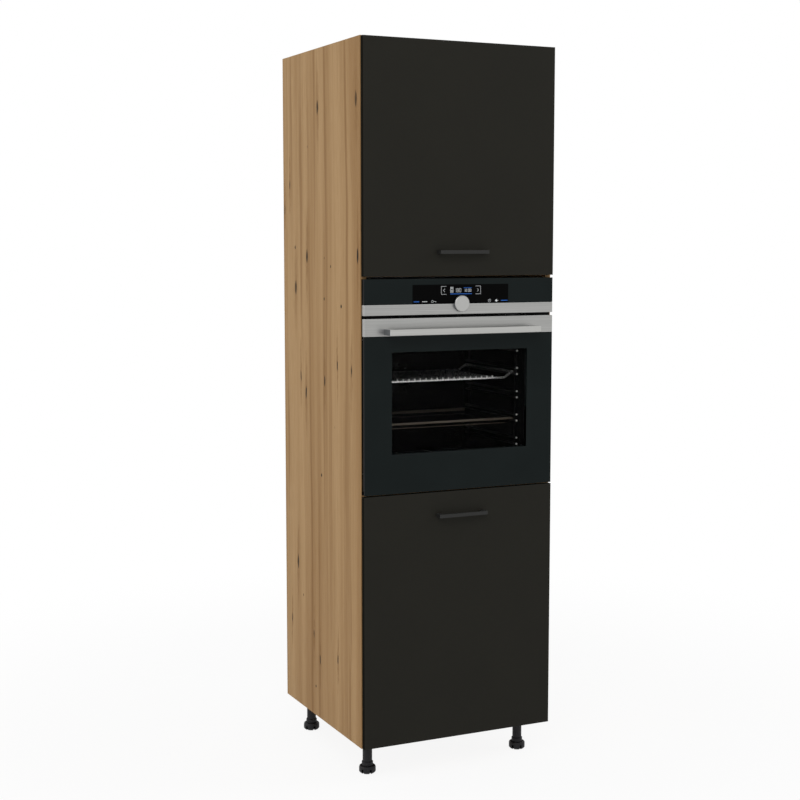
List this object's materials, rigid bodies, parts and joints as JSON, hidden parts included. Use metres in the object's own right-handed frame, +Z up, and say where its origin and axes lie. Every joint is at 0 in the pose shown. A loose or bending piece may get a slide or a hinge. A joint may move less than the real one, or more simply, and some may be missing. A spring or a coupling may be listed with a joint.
{
  "type": "kitchen oven cabinet",
  "caption": "Tall kitchen cabinet on adjustable legs with a lift-up flap above, a built-in oven with drop-down door in the middle and a deep pull-out below.",
  "frame": {"origin": "on the floor, under the centre of the bounding box", "axes": "+Z up, front of the cabinet towards -Y, +X to the right seen from the front"},
  "size_m": [0.6, 0.638, 2.07],
  "materials": {
    "oak": "oak-grain laminate on board",
    "hardboard": "white-faced hardboard",
    "dark_front": "matt anthracite laminate on board",
    "drawer_board": "pale grey laminate on board",
    "black_metal": "matt black powder coat",
    "black_plastic": "moulded, matt",
    "zinc_steel": "zinc plated",
    "chrome_wire": "bright chromed wire",
    "black_enamel": "black vitreous enamel",
    "brushed_steel": "brushed along the length",
    "dark_glass": "polished, dark print behind",
    "seal_rubber": "matt"
  },
  "bodies": {
    "carcass": {"left_side_panel": "oak", "right_side_panel": "oak", "bottom_panel": "oak", "top_panel": "oak", "oven_shelf": "oak", "middle_shelf": "oak", "upper_back_panel": "hardboard", "lower_back_panel": "hardboard", "adjustable_shelf": "oak", "shelf_pins": "zinc_steel", "legs": "black_plastic", "top_hinge_leaves": "zinc_steel", "flap_hinge_pins": "zinc_steel", "strut_side_brackets": "zinc_steel", "cabinet_runners": "zinc_steel", "oven_front_frame": "black_enamel", "oven_fixing_screws": "zinc_steel", "oven_side_casings": "zinc_steel", "oven_top_casing": "zinc_steel", "oven_base_casing": "zinc_steel", "oven_rear_casing": "zinc_steel", "oven_cavity": "black_enamel", "oven_door_seal": "seal_rubber", "rack_ladders": "chrome_wire", "wire_rack": "chrome_wire", "baking_tray": "black_enamel", "fan_cover": "black_enamel", "fan_motor": "zinc_steel", "grill_element": "black_enamel", "control_strip": "brushed_steel", "control_glass": "dark_glass", "control_carrier": "black_plastic", "oven_hinge_receivers": "zinc_steel"},
    "foot_front_left": {"foot_front_left": "black_plastic"},
    "foot_front_right": {"foot_front_right": "black_plastic"},
    "foot_back_left": {"foot_back_left": "black_plastic"},
    "foot_back_right": {"foot_back_right": "black_plastic"},
    "flap": {"flap_panel": "dark_front", "flap_handle": "black_metal", "flap_hinge_leaves": "zinc_steel", "strut_flap_brackets": "zinc_steel"},
    "strut_barrels": {"strut_cylinders": "black_metal"},
    "strut_rods": {"strut_rods": "chrome_wire"},
    "drawer": {"drawer_front_panel": "dark_front", "drawer_handle": "black_metal", "drawer_side_walls": "drawer_board", "drawer_cross_walls": "drawer_board", "drawer_floor": "drawer_board", "gallery_rails": "black_metal", "drawer_runners": "zinc_steel"},
    "runner_middles": {"middle_runners": "zinc_steel"},
    "oven_door": {"oven_door_glass": "dark_glass", "oven_door_trim": "brushed_steel", "oven_door_frame": "black_enamel", "oven_inner_glass": "dark_glass", "oven_handle": "brushed_steel", "door_hinge_lugs": "zinc_steel"},
    "knob": {"oven_knob": "brushed_steel"},
    "fan": {"oven_fan": "zinc_steel"}
  },
  "joints": [
    {"name": "flap_hinge", "type": "hinge", "parent": "carcass", "child": "flap", "pos_m": [0, -0.262, 2.068], "axis": [-1, 0, 0], "range_deg": [0, 80]},
    {"name": "strut_barrel_swing", "type": "hinge", "parent": "carcass", "child": "strut_barrels", "pos_m": [0, -0.14049, 2.03867], "axis": [-1, 0, 0], "range_deg": [0, 40]},
    {"name": "strut_rod_swing", "type": "hinge", "parent": "flap", "child": "strut_rods", "pos_m": [0, -0.248, 1.94379], "axis": [1, 0, 0], "range_deg": [0, 40]},
    {"name": "drawer_slide", "type": "slide", "parent": "carcass", "child": "drawer", "axis": [0, -1, 0], "range_m": [0, 0.48]},
    {"name": "middle_runner_slide", "type": "slide", "parent": "carcass", "child": "runner_middles", "axis": [0, -1, 0], "range_m": [0, 0.24]},
    {"name": "oven_door_hinge", "type": "hinge", "parent": "carcass", "child": "oven_door", "pos_m": [0, -0.272, 0.831], "axis": [1, 0, 0], "range_deg": [0, 90]},
    {"name": "knob_turn", "type": "hinge", "parent": "carcass", "child": "knob", "pos_m": [0, -0.279, 1.3472], "axis": [0, -1, 0], "continuous": true},
    {"name": "fan_spin", "type": "hinge", "parent": "carcass", "child": "fan", "pos_m": [0, 0.151, 1.1], "axis": [0, -1, 0], "continuous": true},
    {"name": "foot_height_front_left", "type": "slide", "parent": "carcass", "child": "foot_front_left", "axis": [0, 0, -1], "range_m": [0, 0.05]},
    {"name": "foot_height_front_right", "type": "slide", "parent": "carcass", "child": "foot_front_right", "axis": [0, 0, -1], "range_m": [0, 0.05]},
    {"name": "foot_height_back_left", "type": "slide", "parent": "carcass", "child": "foot_back_left", "axis": [0, 0, -1], "range_m": [0, 0.05]},
    {"name": "foot_height_back_right", "type": "slide", "parent": "carcass", "child": "foot_back_right", "axis": [0, 0, -1], "range_m": [0, 0.05]}
  ],
  "couplings": [
    {"joint": "strut_barrel_swing", "follows": "flap_hinge", "ratio": 0.5},
    {"joint": "strut_rod_swing", "follows": "flap_hinge", "ratio": 0.5},
    {"joint": "middle_runner_slide", "follows": "drawer_slide", "ratio": 0.5}
  ]
}
